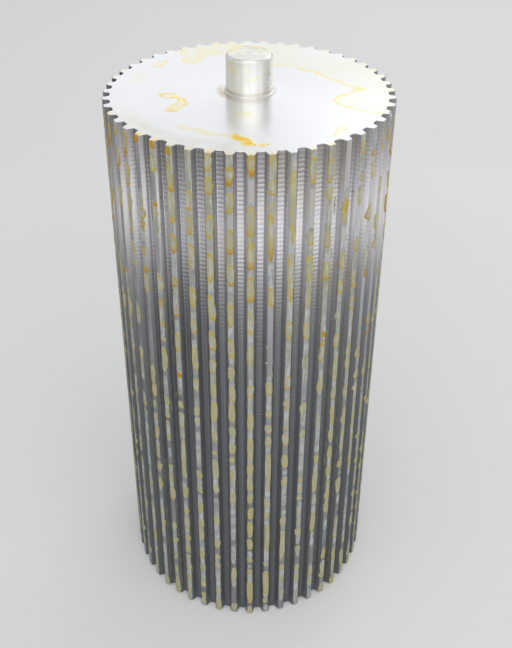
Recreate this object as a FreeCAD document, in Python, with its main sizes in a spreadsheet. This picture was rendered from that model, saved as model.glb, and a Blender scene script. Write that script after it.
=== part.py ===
# Toothed pulley bar for a T5 synchronous belt: a solid aluminium bar with straight belt
# grooves over its whole length, standing on its flat end, and a short turned spigot that is
# pressed into the middle of its upper end.
#
# Frame: +Z is the turning axis. The origin is the middle of the flat lower end. A tooth is
# centred on the +X axis. All lengths are in millimetres.
import FreeCAD, Part
import math
import os
import Sketcher

DIMENSIONS = {
    # belt tooth system: 5 mm pitch, trapezoidal gaps
    "tooth_count": 48,
    "outside_diameter": 75.55,
    "groove_depth": 1.80,
    "groove_floor": 1.78,
    "flank_angle": 25,
    "root_radius": 0.40,
    "tip_radius": 0.30,
    "cutter_overshoot": 1.0,
    # bar
    "bar_length": 160,
    "socket_depth": 21,
    # spigot: a round pin with a thin collar that seats on the bar's end face
    "spigot_diameter": 12,
    "spigot_height": 10,
    "press_length": 20,
    "collar_diameter": 13,
    "collar_height": 0.25,
    "collar_cove": 0.40,
    "end_chamfer": 0.60,
    "lead_chamfer": 1.0,
}

EDGE_TOLERANCE = 1e-4
VOLUME_TOLERANCE = 0.002


def make_sheet(doc):
    """Put every driving dimension in the sheet, one row each, with its name as alias."""
    sheet = doc.addObject("Spreadsheet::Sheet", "Dimensions")
    for row, (alias, value) in enumerate(DIMENSIONS.items(), start=1):
        sheet.set(f"A{row}", alias)
        sheet.set(f"B{row}", str(value))
        sheet.setAlias(f"B{row}", alias)
    doc.recompute()
    return sheet


def origin_feature(body, role):
    """The body's own origin plane or axis with the given role."""
    for feature in body.Origin.OriginFeatures:
        if feature.Role == role:
            return feature
    raise ValueError(f"{body.Label} has no {role}")


def new_sketch(body, name, plane):
    sketch = body.newObject("Sketcher::SketchObject", name)
    sketch.AttachmentSupport = [(origin_feature(body, plane), "")]
    sketch.MapMode = "FlatFace"
    return sketch


def bind(sketch, constraint, name, expression):
    """Add a named dimension to a sketch and tie it to the sheet."""
    index = sketch.addConstraint(constraint)
    sketch.renameConstraint(index, name)
    sketch.setExpression(f"Constraints.{name}", expression)


def circle_sketch(body, name, diameter_expression, diameter, height_expression=None):
    """A circle about the turning axis, on the XY plane or at a height above it."""
    sketch = new_sketch(body, name, "XY_Plane")
    circle = sketch.addGeometry(Part.Circle(FreeCAD.Vector(), FreeCAD.Vector(0, 0, 1), diameter / 2))
    sketch.addConstraint(Sketcher.Constraint("Coincident", circle, 3, -1, 1))
    bind(sketch, Sketcher.Constraint("Diameter", circle, diameter), "diameter", diameter_expression)
    if height_expression:
        sketch.setExpression("AttachmentOffset.Base.z", height_expression)
    return sketch


def pad(body, name, sketch, length_expression):
    feature = body.newObject("PartDesign::Pad", name)
    feature.Profile = sketch
    feature.setExpression("Length", length_expression)
    return feature


def groove_sketch(body):
    """Section of one belt groove: flat floor, rounded root corners and straight flanks."""
    size = DIMENSIONS
    floor_radius = size["outside_diameter"] / 2 - size["groove_depth"]
    mouth_radius = size["outside_diameter"] / 2 + size["cutter_overshoot"]
    half_floor = size["groove_floor"] / 2
    half_mouth = half_floor + (mouth_radius - floor_radius) * math.tan(math.radians(size["flank_angle"]))
    corners = [
        FreeCAD.Vector(floor_radius, -half_floor, 0),
        FreeCAD.Vector(floor_radius, half_floor, 0),
        FreeCAD.Vector(mouth_radius, half_mouth, 0),
        FreeCAD.Vector(mouth_radius, -half_mouth, 0),
    ]
    sketch = new_sketch(body, "groove_section", "XY_Plane")
    # the groove is centred half a tooth pitch from +X, which leaves a tooth on the axis
    half_pitch = FreeCAD.Rotation(FreeCAD.Vector(0, 0, 1), 180 / size["tooth_count"])
    sketch.AttachmentOffset = FreeCAD.Placement(FreeCAD.Vector(), half_pitch)
    sketch.setExpression("AttachmentOffset.Rotation.Angle", "180 deg / Dimensions.tooth_count")
    lines = []
    for start, end in zip(corners, corners[1:] + corners[:1]):
        lines.append(sketch.addGeometry(Part.LineSegment(start, end)))
    floor, upper, mouth, lower = lines
    for first, second in zip(lines, lines[1:] + lines[:1]):
        sketch.addConstraint(Sketcher.Constraint("Coincident", first, 2, second, 1))
    sketch.addConstraint(Sketcher.Constraint("Symmetric", floor, 1, floor, 2, -1))
    sketch.addConstraint(Sketcher.Constraint("Symmetric", mouth, 1, mouth, 2, -1))
    bind(sketch, Sketcher.Constraint("DistanceX", -1, 1, floor, 1, floor_radius),
         "floor_radius", "Dimensions.outside_diameter / 2 - Dimensions.groove_depth")
    bind(sketch, Sketcher.Constraint("DistanceX", -1, 1, mouth, 1, mouth_radius),
         "mouth_radius", "Dimensions.outside_diameter / 2 + Dimensions.cutter_overshoot")
    bind(sketch, Sketcher.Constraint("DistanceY", floor, 1, floor, 2, size["groove_floor"]),
         "floor_width", "Dimensions.groove_floor")
    bind(sketch, Sketcher.Constraint("DistanceY", mouth, 2, mouth, 1, 2 * half_mouth),
         "mouth_width",
         "Dimensions.groove_floor + 2 * (Dimensions.groove_depth + Dimensions.cutter_overshoot)"
         " * tan(Dimensions.flank_angle * 1 deg)")
    return sketch


def vertical_edges(shape, low_radius, high_radius):
    """Names of the edges that run along Z at a distance from the axis between two radii."""
    names = []
    for index, edge in enumerate(shape.Edges, start=1):
        ends = [vertex.Point for vertex in edge.Vertexes]
        if len(ends) != 2:
            continue
        radius = math.hypot(ends[0].x, ends[0].y)
        upright = math.hypot(ends[0].x - ends[1].x, ends[0].y - ends[1].y) < EDGE_TOLERANCE
        if upright and low_radius < radius < high_radius:
            names.append(f"Edge{index}")
    return names


def round_edges(body, name, base, edges, radius_expression):
    feature = body.newObject("PartDesign::Fillet", name)
    feature.Base = (base, edges)
    feature.setExpression("Radius", radius_expression)
    return feature


def chamfer_edges(body, name, base, edges, size_expression):
    feature = body.newObject("PartDesign::Chamfer", name)
    feature.Base = (base, edges)
    feature.setExpression("Size", size_expression)
    return feature


def ring_edge(shape, radius, height):
    """Name of the one round edge about the axis with this radius at this height."""
    for index, edge in enumerate(shape.Edges, start=1):
        curve = edge.Curve
        if not isinstance(curve, Part.Circle):
            continue
        if abs(curve.Radius - radius) < EDGE_TOLERANCE and abs(curve.Center.z - height) < EDGE_TOLERANCE:
            return [f"Edge{index}"]
    raise ValueError(f"no round edge of radius {radius} at height {height}")


def make_toothed_bar(doc):
    """The turned and hobbed bar, with the blind socket that holds the spigot."""
    size = DIMENSIONS
    body = doc.addObject("PartDesign::Body", "toothed_bar")
    blank = pad(body, "turned_blank",
                circle_sketch(body, "blank_circle", "Dimensions.outside_diameter", size["outside_diameter"]),
                "Dimensions.bar_length")
    doc.recompute()
    blank_volume = blank.Shape.Volume

    groove = body.newObject("PartDesign::Pocket", "groove")
    groove.Profile = groove_sketch(body)
    groove.Reversed = True
    groove.setExpression("Length", "Dimensions.bar_length")
    doc.recompute()
    one_groove = blank_volume - groove.Shape.Volume

    teeth = body.newObject("PartDesign::PolarPattern", "teeth")
    teeth.Originals = [groove]
    teeth.Axis = (origin_feature(body, "Z_Axis"), [""])
    teeth.Angle = 360
    teeth.setExpression("Occurrences", "Dimensions.tooth_count")
    body.Tip = teeth
    doc.recompute()
    removed = blank_volume - teeth.Shape.Volume
    wanted = size["tooth_count"] * one_groove
    if one_groove <= 0 or abs(removed - wanted) > VOLUME_TOLERANCE * wanted:
        raise RuntimeError("the belt grooves did not cut as many times as there are teeth")

    outer = size["outside_diameter"] / 2
    floor = outer - size["groove_depth"]
    band = size["groove_depth"] / 4
    roots = round_edges(body, "root_rounding", teeth,
                        vertical_edges(teeth.Shape, floor - band, floor + band), "Dimensions.root_radius")
    doc.recompute()
    tips = round_edges(body, "tip_rounding", roots,
                       vertical_edges(roots.Shape, outer - band / 4, outer + band), "Dimensions.tip_radius")
    doc.recompute()

    socket = body.newObject("PartDesign::Hole", "spigot_socket")
    socket.Profile = circle_sketch(body, "socket_circle", "Dimensions.spigot_diameter",
                                   size["spigot_diameter"], "Dimensions.bar_length")
    doc.recompute()
    socket.Threaded = False
    socket.DepthType = "Dimension"
    socket.DrillPoint = "Flat"
    socket.setExpression("Diameter", "Dimensions.spigot_diameter")
    socket.setExpression("Depth", "Dimensions.socket_depth")
    body.Tip = socket
    doc.recompute()
    expected = math.pi * (size["spigot_diameter"] / 2) ** 2 * size["socket_depth"]
    if abs(tips.Shape.Volume - socket.Shape.Volume - expected) > VOLUME_TOLERANCE * expected:
        raise RuntimeError("the spigot socket has the wrong depth or direction")
    return body


def make_spigot(doc):
    """The round pin: its plain end is in the socket and its collar sits on the end face."""
    size = DIMENSIONS
    body = doc.addObject("PartDesign::Body", "turned_spigot")
    body.setExpression("Placement.Base.z", "Dimensions.bar_length")
    pin = pad(body, "pin",
              circle_sketch(body, "pin_circle", "Dimensions.spigot_diameter", size["spigot_diameter"],
                            "-Dimensions.press_length"),
              "Dimensions.press_length + Dimensions.spigot_height")
    collar = pad(body, "collar",
                 circle_sketch(body, "collar_circle", "Dimensions.collar_diameter", size["collar_diameter"]),
                 "Dimensions.collar_height")
    doc.recompute()
    radius = size["spigot_diameter"] / 2
    cove = round_edges(body, "collar_cove", collar,
                       ring_edge(collar.Shape, radius, size["collar_height"]), "Dimensions.collar_cove")
    doc.recompute()
    end = chamfer_edges(body, "end_chamfer", cove,
                        ring_edge(cove.Shape, radius, size["spigot_height"]), "Dimensions.end_chamfer")
    doc.recompute()
    lead = chamfer_edges(body, "lead_chamfer", end,
                         ring_edge(end.Shape, radius, -size["press_length"]), "Dimensions.lead_chamfer")
    body.Tip = lead
    doc.recompute()
    if lead.Shape.Volume >= pin.Shape.Volume + collar.Shape.Volume:
        raise RuntimeError("the spigot's chamfers took nothing away")
    return body


def check_document(doc):
    for item in doc.Objects:
        if "Invalid" in item.State or "Error" in item.State:
            raise RuntimeError(f"{item.Name} is {item.State}")


def export(bodies):
    os.makedirs("parts", exist_ok=True)
    for body in bodies:
        shape = body.Shape
        if shape.isNull() or not shape.isValid():
            raise RuntimeError(f"{body.Label} has no valid shape")
        if len(shape.Solids) != 1:
            raise RuntimeError(f"{body.Label} is {len(shape.Solids)} solids")
        shape.exportStep(os.path.join("parts", body.Label + ".step"))
        box = shape.BoundBox
        print(f"{body.Label}: volume {shape.Volume:.1f} mm3, faces {len(shape.Faces)}, "
              f"z {box.ZMin:.2f} to {box.ZMax:.2f}, width {box.XLength:.3f} x {box.YLength:.3f}")


document = FreeCAD.newDocument("pulley_bar")
make_sheet(document)
bodies = [make_toothed_bar(document), make_spigot(document)]
document.recompute()
check_document(document)
export(bodies)
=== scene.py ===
# Toothed aluminium pulley bar with a turned spigot, stained with dried cutting oil.
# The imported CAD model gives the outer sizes; the tooth shape and the spigot repeat its values.
import math

import bpy
import numpy as np
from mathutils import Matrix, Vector


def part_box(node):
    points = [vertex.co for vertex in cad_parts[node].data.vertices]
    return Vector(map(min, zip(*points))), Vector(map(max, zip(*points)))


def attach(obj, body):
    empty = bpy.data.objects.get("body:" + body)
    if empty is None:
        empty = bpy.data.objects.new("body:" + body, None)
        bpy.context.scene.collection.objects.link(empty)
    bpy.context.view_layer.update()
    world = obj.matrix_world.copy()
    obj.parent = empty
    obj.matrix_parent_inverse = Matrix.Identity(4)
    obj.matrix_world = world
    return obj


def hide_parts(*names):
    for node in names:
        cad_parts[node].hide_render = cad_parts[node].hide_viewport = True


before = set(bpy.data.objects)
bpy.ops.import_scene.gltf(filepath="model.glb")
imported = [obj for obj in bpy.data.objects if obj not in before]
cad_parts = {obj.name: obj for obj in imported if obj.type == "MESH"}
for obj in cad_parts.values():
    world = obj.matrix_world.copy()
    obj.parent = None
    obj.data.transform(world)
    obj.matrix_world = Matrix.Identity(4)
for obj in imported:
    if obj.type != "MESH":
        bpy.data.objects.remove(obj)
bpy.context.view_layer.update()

MM = 0.001
ROOT = "root"

# Sizes from the frame, in millimetres
BAR_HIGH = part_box("toothed_bar")[1] / MM
PIN_LOW, PIN_HIGH = (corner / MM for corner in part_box("turned_spigot"))
OUTER_RADIUS = BAR_HIGH.x
BAR_LENGTH = BAR_HIGH.z
TOTAL_HEIGHT = PIN_HIGH.z
COLLAR_RADIUS = PIN_HIGH.x

# Tooth system of the bar, in millimetres and degrees
TOOTH_COUNT = 48
GROOVE_DEPTH = 1.80
GROOVE_FLOOR = 1.78
FLANK_ANGLE = 25.0
ROOT_RADIUS = 0.40
TIP_RADIUS = 0.30
EDGE_BREAK = 0.12
PITCH_ANGLE = 2 * math.pi / TOOTH_COUNT
# number of the tooth on -Y, counted from +X
FRONT_TOOTH = TOOTH_COUNT * 3 // 4

# Spigot, in millimetres
PIN_RADIUS = 6.0
COLLAR_HEIGHT = 0.25
COLLAR_COVE = 0.40
PIN_CHAMFER = 0.60
PIN_SEGMENTS = 160

FLOOR_RADIUS = OUTER_RADIUS - GROOVE_DEPTH


# ---- camera

# Place in millimetres, then the angle of dip and a small turn about the axis, in degrees
CAMERA_PLACE = (-0.63, -219.1, 249.85)
CAMERA_DIP = 31.36
CAMERA_TURN = -0.46
CAMERA_LENS = 50.35
CAMERA_SHIFT = (0.0142, -0.1378)


def make_camera():
    """Looks down on the front of the bar, from above its upper end."""
    data = bpy.data.cameras.new("camera")
    data.sensor_fit = "VERTICAL"
    data.sensor_height = 36
    data.lens = CAMERA_LENS
    data.shift_x, data.shift_y = CAMERA_SHIFT
    data.clip_start = 0.01
    camera = bpy.data.objects.new("camera", data)
    turn = math.radians(CAMERA_TURN)
    x, y, z = (value * MM for value in CAMERA_PLACE)
    camera.location = (
        x * math.cos(turn) - y * math.sin(turn),
        x * math.sin(turn) + y * math.cos(turn),
        z,
    )
    camera.rotation_euler = (math.radians(90 - CAMERA_DIP), 0, turn)
    bpy.context.scene.collection.objects.link(camera)
    bpy.context.scene.camera = camera


# ---- mesh helpers

# The metal tips are drawn this much under the CAD radius, which leaves room for dried oil
OIL_ROOM = 0.10


def new_object(name, vertices, faces, attributes=None, smooth_angle=None):
    """A mesh object from points in millimetres, with one float attribute per name."""
    mesh = bpy.data.meshes.new(name)
    mesh.from_pydata((np.asarray(vertices) * MM).tolist(), [], faces)
    for key, values in (attributes or {}).items():
        layer = mesh.attributes.new(key, "FLOAT", "POINT")
        layer.data.foreach_set("value", np.asarray(values, np.float32))
    mesh.validate()
    mesh.update()
    piece = bpy.data.objects.new(name, mesh)
    bpy.context.scene.collection.objects.link(piece)
    mesh.polygons.foreach_set("use_smooth", [True] * len(mesh.polygons))
    if smooth_angle is not None:
        mesh.set_sharp_from_angle(angle=math.radians(smooth_angle))
    return piece


def strip(first, second, count):
    """Quads between two closed rows of the same count, given their first vertex numbers."""
    return [
        (first + i, first + (i + 1) % count, second + (i + 1) % count, second + i)
        for i in range(count)
    ]


# ---- tooth outline

def half_groove():
    """From the groove's middle to the tooth's middle: points (tangential, radial), unit
    normals, and for each point how much it belongs to the floor and to the tooth's land."""
    angle = math.radians(FLANK_ANGLE)
    along = np.array([math.sin(angle), math.cos(angle)])
    into = np.array([math.cos(angle), -math.sin(angle)])
    corner = np.array([GROOVE_FLOOR / 2, FLOOR_RADIUS])
    root_step = ROOT_RADIUS * (1 - math.sin(angle)) / math.cos(angle)
    root_centre = corner + root_step * along - ROOT_RADIUS * into
    # the tip arc touches the flank and the outside circle
    offset = corner + TIP_RADIUS * into
    b = float(offset @ along)
    c = float(offset @ offset) - (OUTER_RADIUS - TIP_RADIUS) ** 2
    tip_centre = offset + (-b + math.sqrt(b * b - c)) * along

    rows = []
    for t in np.linspace(0, root_centre[0], 3)[:-1]:
        rows.append(((t, FLOOR_RADIUS), (0, 1), 1.0, 0.0))
    for turn in np.linspace(0, math.pi / 2 - angle, 4):
        normal = np.array([-math.sin(turn), math.cos(turn)])
        rows.append((tuple(root_centre - ROOT_RADIUS * normal), tuple(normal), 1.0 - turn / 2, 0.0))
    land_normal = tip_centre / np.linalg.norm(tip_centre)
    start = math.atan2(-into[0], -into[1])
    end = math.atan2(land_normal[0], land_normal[1])
    for share in np.linspace(0, 1, 4):
        turn = start + (end - start) * share
        normal = np.array([math.sin(turn), math.cos(turn)])
        rows.append((tuple(tip_centre + TIP_RADIUS * normal), tuple(normal), 0.0, share))
    for turn in np.linspace(end, PITCH_ANGLE / 2, 4)[1:]:
        normal = (math.sin(turn), math.cos(turn))
        rows.append(((OUTER_RADIUS * normal[0], OUTER_RADIUS * normal[1]), normal, 0.0, 1.0))
    return [np.array(column) for column in zip(*rows)]


def turned(points, angle):
    """Rotates (tangential, radial) pairs to the radial direction at this angle from +X."""
    radial = np.array([math.cos(angle), math.sin(angle)])
    tangent = np.array([-math.sin(angle), math.cos(angle)])
    return points[:, :1] * tangent + points[:, 1:] * radial


def tooth_outline():
    """The whole toothed outline: points, normals, floor and land shares, tooth numbers, the
    distance along the surface from the middle of the tooth, and groove numbers."""
    points, normals, floor, land = half_groove()
    steps = np.linalg.norm(np.diff(points, axis=0), axis=1)
    reach = np.concatenate([[0], np.cumsum(steps)])
    across = reach[-1] - reach
    parts = []
    for number in range(TOOTH_COUNT):
        middle = (number + 0.5) * PITCH_ANGLE
        # down from this tooth to the middle of the groove, then up towards the next tooth,
        # whose middle point comes in the next turn of the loop
        for part, side, tooth in ((slice(None, None, -1), -1, number),
                                  (slice(1, -1), 1, (number + 1) % TOOTH_COUNT)):
            mirror = np.array([side, 1])
            parts.append((
                turned(points[part] * mirror, middle), turned(normals[part] * mirror, middle),
                floor[part], land[part], np.full(len(floor[part]), tooth), side * across[part],
                np.full(len(floor[part]), number),
            ))
    names = ("points", "normals", "floor", "land", "tooth", "across", "groove")
    outline = {name: np.concatenate(values) for name, values in zip(names, zip(*parts))}
    outline["points"] = outline["points"] * (1 - OIL_ROOM / OUTER_RADIUS)
    return outline


# ---- shapes drawn on a surface

def ripple(x, y, size, seed):
    """Smooth noise, mostly between -1 and 1, whose lumps are about this size across."""
    rng = np.random.default_rng(seed)
    waves = 14
    total = np.zeros_like(x)
    for _ in range(waves):
        way = rng.uniform(0, 2 * math.pi)
        number = 2 * math.pi / (size * rng.uniform(1.0, 3.2))
        total += np.sin((x * math.cos(way) + y * math.sin(way)) * number + rng.uniform(0, 6.28))
    return total / math.sqrt(waves)


def smooth_line(points, closed=False, steps=12):
    """A Catmull-Rom curve through given points."""
    points = np.asarray(points, float)
    if closed:
        control = np.vstack([points[-1], points, points[0], points[1]])
    else:
        control = np.vstack([2 * points[0] - points[1], points, 2 * points[-1] - points[-2]])
    t = np.linspace(0, 1, steps, endpoint=False)[:, None]
    curve = []
    for a, b, c, d in zip(control, control[1:], control[2:], control[3:]):
        curve.append(0.5 * (2 * b + (c - a) * t + (2 * a - 5 * b + 4 * c - d) * t ** 2
                            + (3 * b - a - 3 * c + d) * t ** 3))
    if not closed:
        curve.append(points[-1:])
    return np.vstack(curve)


def distance_to(line, x, y, closed=False):
    """Distance from each point to a polyline."""
    ends = np.roll(line, -1, axis=0) if closed else line[1:]
    starts = line if closed else line[:-1]
    best = np.full(len(x), 1e9)
    for start, end in zip(starts, ends):
        way = end - start
        share = ((x - start[0]) * way[0] + (y - start[1]) * way[1]) / max(float(way @ way), 1e-12)
        share = np.clip(share, 0, 1)
        gap = np.hypot(x - start[0] - share * way[0], y - start[1] - share * way[1])
        best = np.minimum(best, gap)
    return best


def inside(line, x, y):
    """True for each point inside a closed polyline."""
    found = np.zeros(len(x), bool)
    for (ax, ay), (bx, by) in zip(line, np.roll(line, -1, axis=0)):
        crosses = (ay > y) != (by > y)
        with np.errstate(divide="ignore", invalid="ignore"):
            found ^= crosses & (x < (bx - ax) * (y - ay) / (by - ay) + ax)
    return found


def fade(values, full, none):
    """1 where values reach full, 0 where they reach none, and smooth between."""
    share = np.clip((values - none) / (full - none), 0, 1)
    return share * share * (3 - 2 * share)


def ellipse(centre, half_width, half_length, lean, count=20):
    """A closed oval; lean is the angle of its long axis from +Y towards +X, in degrees."""
    angles = np.linspace(0, 2 * math.pi, count, endpoint=False)
    across = half_width * np.cos(angles)
    along = half_length * np.sin(angles)
    tilt = math.radians(lean)
    return np.column_stack([
        centre[0] + across * math.cos(tilt) + along * math.sin(tilt),
        centre[1] - across * math.sin(tilt) + along * math.cos(tilt),
    ])


# ---- dried oil on the end face

# Edge of the large dried film over the back right of the end face, in millimetres
FILM_EDGE = [
    (3.0, 18.4), (6.5, 17.9), (9.8, 17.0), (13.0, 15.3), (17.9, 12.3), (21.5, 8.2), (25.0, 3.4),
    (27.4, 0.3), (25.8, -2.3), (23.2, -4.1), (21.4, -6.3), (22.0, -8.8), (25.2, -11.8),
    (28.4, -14.1), (30.9, -15.3), (32.8, -14.7), (34.8, -12.8),
]
FILM_BEYOND = [(45, -10), (45, 30), (10, 48), (-8, 42), (-6, 30), (-3, 22)]
WASH = [
    (-20.0, 31.5), (-14.5, 36.5), (-4.0, 40.0), (-3.0, 29.0), (-8.0, 26.8), (-12.0, 24.6),
    (-13.6, 20.2), (-16.6, 18.8), (-18.8, 21.2), (-18.2, 24.5), (-19.8, 27.6),
]
WASH_ISLAND = [(-18.4, 30.6), (-15.8, 31.8), (-14.2, 28.6), (-14.4, 24.0), (-16.4, 21.4), (-17.2, 25.4)]
COMMA_TAIL = [
    (-18.9, -4.3), (-17.0, -5.6), (-15.9, -7.9), (-16.3, -10.2), (-17.6, -12.6), (-18.9, -13.6),
    (-20.2, -12.8), (-20.3, -11.0), (-19.2, -9.6), (-18.1, -8.4), (-18.2, -6.6),
]
STREAK = [(-16.6, -22.0), (-13.8, -23.8), (-10.4, -25.6), (-6.6, -26.6), (-3.2, -28.2)]
BLOB = [(-3.3, -27.8), (-2.6, -29.2), (-1.4, -30.6), (-0.4, -31.6)]
# Small spots after the blob: place and how brown each is
BLOB_TAIL = [(1.2, -32.3, 0.6), (2.5, -32.6, 0.3), (3.8, -32.2, 0.5)]
# Teeth with a spot on the tip's upper edge: angle from +X in degrees, and how brown it is
TIP_SPOTS = [
    (225, 1.0), (233, 0.9), (240, 0.4), (247.5, 0.4), (255, 0.8), (262.5, 0.5), (270, 0.7),
    (277.5, 0.6), (292.5, 0.5), (300, 0.6), (202.5, 0.5), (157.5, 0.4), (142.5, 0.3),
    (22.5, 0.5), (30, 0.4), (37.5, 0.4), (52.5, 0.5), (67.5, 0.3), (75, 0.4), (97.5, 0.4), (0, 0.4),
    (7.5, 0.3), (345, 0.3),
]

STAIN_NAMES = ("film", "line", "brown", "soil")
TIP_SPOT_RADIUS = 36.9


class Stains:
    """How much pale film, yellow line, brown spot and soil, some of it painted shade, lies at each point."""

    def __init__(self, x):
        self.amounts = {name: np.zeros(len(x)) for name in STAIN_NAMES}

    def add(self, **marks):
        """A mark shows where it is stronger than what is there already."""
        for name, amount in marks.items():
            self.amounts[name] = np.maximum(self.amounts[name], amount)

    def where(self, chosen):
        """The amounts at the chosen points, between 0 and 1, and 0 elsewhere."""
        return {name: np.clip(amount, 0, 1) * chosen for name, amount in self.amounts.items()}


def large_film(stains, x, y, wx, wy):
    """Pale film over the back right, yellow along its edge and broad at its notch."""
    edge = smooth_line(FILM_EDGE)
    gap = distance_to(edge, wx, wy)
    within = inside(np.vstack([edge, FILM_BEYOND]), wx, wy)
    width = 0.42 + 0.10 * ripple(x, y, 5.0, 8)
    broad = 0.35 + 0.7 * fade(x, 8, 18) * fade(y, 2, 6)
    edge_line = fade(gap, 0.10, width + np.where(within, broad, 0.05))
    notch = np.hypot(wx - 28.4, wy - 0.4)
    stains.add(film=within * (0.75 + 0.25 * ripple(x, y, 9.0, 7)),
               line=edge_line * (0.80 + 0.2 * ripple(x, y, 4.0, 9)))
    stains.add(line=within * 0.8 * fade(notch, 0.3, 2.4))


def yellow_wash(stains, x, y, wx, wy):
    """Yellow patch at the back left, with a clearer island in it."""
    wash = smooth_line(WASH, closed=True)
    island = smooth_line(WASH_ISLAND, closed=True)
    in_wash = inside(wash, wx, wy)
    in_island = inside(island, wx, wy)
    wash_edge = 0.55 * fade(distance_to(wash, wx, wy, closed=True), 0.15, 0.9)
    island_edge = 0.55 * fade(distance_to(island, wx, wy, closed=True), 0.15, 0.6)
    yellow = (in_wash & ~in_island) * (0.20 + 0.14 * ripple(x, y, 3.5, 10))
    yellow = np.maximum(yellow, in_wash * np.maximum(wash_edge, island_edge))
    stains.add(line=yellow * (1 - 0.5 * in_island), film=0.8 * in_wash)


def ring_marks(stains, x, y, wx, wy):
    """Rims of dried drops: each with its outline, half width, strength and how brown it is."""
    comma = smooth_line(COMMA_TAIL, closed=True)
    rings = [
        (ellipse((-24.3, 19.5), 1.25, 2.7, 24), 0.38, 0.85, 0.25),
        (ellipse((-20.8, -3.3), 1.9, 1.35, 10), 0.50, 0.95, 0.45),
        (comma, 0.45, 0.90, 0.30),
        (ellipse((21.1, -24.9), 0.75, 3.4, 26), 0.28, 0.60, 0.10),
        (ellipse((-1.5, -15.3), 2.3, 1.15, -8), 0.30, 0.45, 0.0),
    ]
    uneven = np.clip(0.85 + 0.25 * ripple(x, y, 2.0, 11), 0, 1)
    browned = np.clip(ripple(x, y, 2.5, 12) + 0.4, 0, 1)
    for ring, half_width, strength, tint in rings:
        mark = fade(distance_to(ring, wx, wy, closed=True), 0.12, half_width + 0.2)
        stains.add(line=strength * mark * uneven, brown=tint * mark * browned,
                   film=0.5 * inside(ring, wx, wy))
    stains.add(line=0.42 * inside(comma, wx, wy) * (0.9 + 0.2 * ripple(x, y, 1.5, 16)),
               brown=0.45 * fade(np.hypot(wx + 19.2, wy + 12.6), 0.4, 1.5))


def streak_and_blob(stains, x, y, wx, wy):
    """Pale streak at the front left, with an orange blob and small spots after it."""
    gap = distance_to(smooth_line(STREAK), wx, wy)
    edge = 0.42 * fade(np.abs(gap - 0.95), 0.05, 0.3) * (ripple(x, y, 4.0, 13) > -0.2)
    stains.add(film=fade(gap, 0.7, 1.2), line=np.maximum(0.20 * fade(gap, 0.5, 1.2), edge))
    blob = distance_to(smooth_line(BLOB), wx, wy)
    uneven = np.clip(0.75 + 0.3 * ripple(x, y, 1.6, 14), 0, 1)
    stains.add(line=fade(blob, 1.1, 1.8), brown=fade(blob, 0.5, 1.35) * uneven)
    for spot_x, spot_y, tint in BLOB_TAIL:
        gap = np.hypot(wx - spot_x, wy - spot_y)
        stains.add(line=0.9 * fade(gap, 0.3, 0.8), brown=tint * fade(gap, 0.1, 0.6))


def foot_and_rim(stains, x, y):
    """Dried oil at the foot of the spigot, a ring of painted shade round the collar, and faint film near the
    rim and on the left.
    """
    radius = np.hypot(x, y)
    angle = np.degrees(np.arctan2(y, x)) % 360
    foot = fade(radius, 7.3, 9.0) * fade(np.abs(angle - 192), 20, 48)
    stains.add(film=foot, soil=0.85 * foot * (0.85 + 0.2 * ripple(x, y, 1.4, 17)))
    # painted shade: a darker ring on the end face all round the collar, where the pin meets the face
    stains.add(soil=0.30 * fade(np.abs(radius - 6.9), 0.1, 0.5))
    rim = fade(radius, 33.5, 29.5) * fade(np.abs(angle - 240), 20, 48)
    stains.add(film=0.55 * rim * (0.8 + 0.3 * ripple(x, y, 5.0, 15)),
               soil=0.22 * rim * np.clip(0.6 + 0.5 * ripple(x, y, 3.0, 18), 0, 1))
    stains.add(film=0.6 * fade(np.hypot((x + 29.5) / 3.2, (y - 9) / 6.0), 0.3, 1.1))


def tip_spots(stains, x, y):
    for spot_angle, tint in TIP_SPOTS:
        spot = math.radians(spot_angle)
        gap = np.hypot(x - TIP_SPOT_RADIUS * math.cos(spot), y - TIP_SPOT_RADIUS * math.sin(spot))
        stains.add(line=0.8 * tint ** 0.5 * fade(gap, 0.3, 1.3),
                   brown=tint * fade(gap, 0.2, 0.6 + 0.6 * tint))


def end_face_stains(x, y):
    """All the stains on the end face, with wavering edges."""
    stains = Stains(x)
    wx = x + 0.35 * ripple(x, y, 3.0, 5)
    wy = y + 0.35 * ripple(x, y, 3.0, 6)
    for marks in (large_film, yellow_wash, ring_marks, streak_and_blob):
        marks(stains, x, y, wx, wy)
    foot_and_rim(stains, x, y)
    tip_spots(stains, x, y)
    return stains


# ---- toothed bar

SOCKET_DEPTH = 21.0
NICK_TOOTH_ANGLE = math.radians(-22.5)
END_RING_STEP = 0.30
# height of a yellow line of oil on the end face, and how near its plane a point counts as on it
LINE_HEIGHT = 0.03
FLAT_ENOUGH = 1e-6


def nick(points):
    """A small knock in the tip of one tooth, just under the upper rim."""
    centre = np.array([
        (OUTER_RADIUS - 0.1) * math.cos(NICK_TOOTH_ANGLE),
        (OUTER_RADIUS - 0.1) * math.sin(NICK_TOOTH_ANGLE),
        BAR_LENGTH - 0.25,
    ])
    gap = np.linalg.norm((points - centre) / np.array([1, 1, 1.25]), axis=1)
    depth = 0.75 * fade(gap, 0.2, 1.1)
    away = points[:, :2] / np.linalg.norm(points[:, :2], axis=1)[:, None]
    points[:, :2] -= depth[:, None] * away
    return points


def bar_side(outline):
    """Rows of the toothed outline from the lower end to the upper end, edges broken."""
    near_top = BAR_LENGTH - np.array([EDGE_BREAK, 0.35, 0.6, 0.9, 1.2, 1.6, 2.2])[::-1]
    heights = np.concatenate([[0, EDGE_BREAK, BAR_LENGTH / 2], near_top, [BAR_LENGTH]])
    rows = []
    for height in heights:
        inset = EDGE_BREAK if height in (0, BAR_LENGTH) else 0
        ring = outline["points"] - inset * outline["normals"]
        rows.append(np.column_stack([ring, np.full(len(ring), height)]))
    return rows


def ring_points(radius, height, count, turn=0.0):
    angles = turn + np.arange(count) * 2 * math.pi / count
    return np.column_stack([radius * np.cos(angles), radius * np.sin(angles), np.full(count, height)])


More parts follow.
